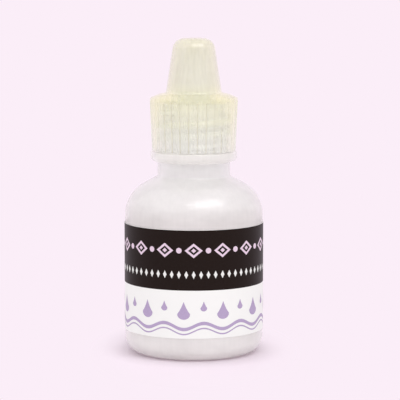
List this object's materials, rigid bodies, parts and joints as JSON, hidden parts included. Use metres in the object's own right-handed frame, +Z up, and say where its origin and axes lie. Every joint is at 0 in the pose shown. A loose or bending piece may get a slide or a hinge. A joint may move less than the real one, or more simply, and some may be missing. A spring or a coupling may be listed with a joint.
{
  "type": "eye drop bottle",
  "caption": "Small round squeeze bottle for eye drops: pressed-in dropper nozzle, ribbed screw cap with a hollow nose, loose tamper ring and wraparound label.",
  "frame": {"origin": "centre of the ring that the bottle stands on, in the plane of the ground", "axes": "+Z up along the bottle's axis, -Y towards the viewer's side of the label, the label's gap at +Y"},
  "size_m": [0.025, 0.0251, 0.0569],
  "materials": {
    "natural_polyethylene": "satin, translucent milky white",
    "clear_polyethylene": "satin, translucent",
    "cream_polypropylene": "satin, translucent pale yellow",
    "pale_polypropylene": "satin, translucent",
    "label_film": "printed film, satin",
    "eye_solution": "clear watery liquid"
  },
  "bodies": {
    "bottle": {"bottle": "natural_polyethylene", "dropper_insert": "clear_polyethylene", "label": "label_film", "solution": "eye_solution"},
    "tamper_ring": {"tamper_ring": "pale_polypropylene"},
    "cap": {"cap": "cream_polypropylene"}
  },
  "joints": [
    {"name": "cap_turn", "type": "hinge", "parent": "bottle", "child": "tamper_ring", "pos_m": [0, 0, 0.0355], "axis": [0, 0, 1], "range_deg": [0, 540]},
    {"name": "cap_lift", "type": "slide", "parent": "tamper_ring", "child": "cap", "axis": [0, 0, 1], "range_m": [0, 0.022]}
  ]
}
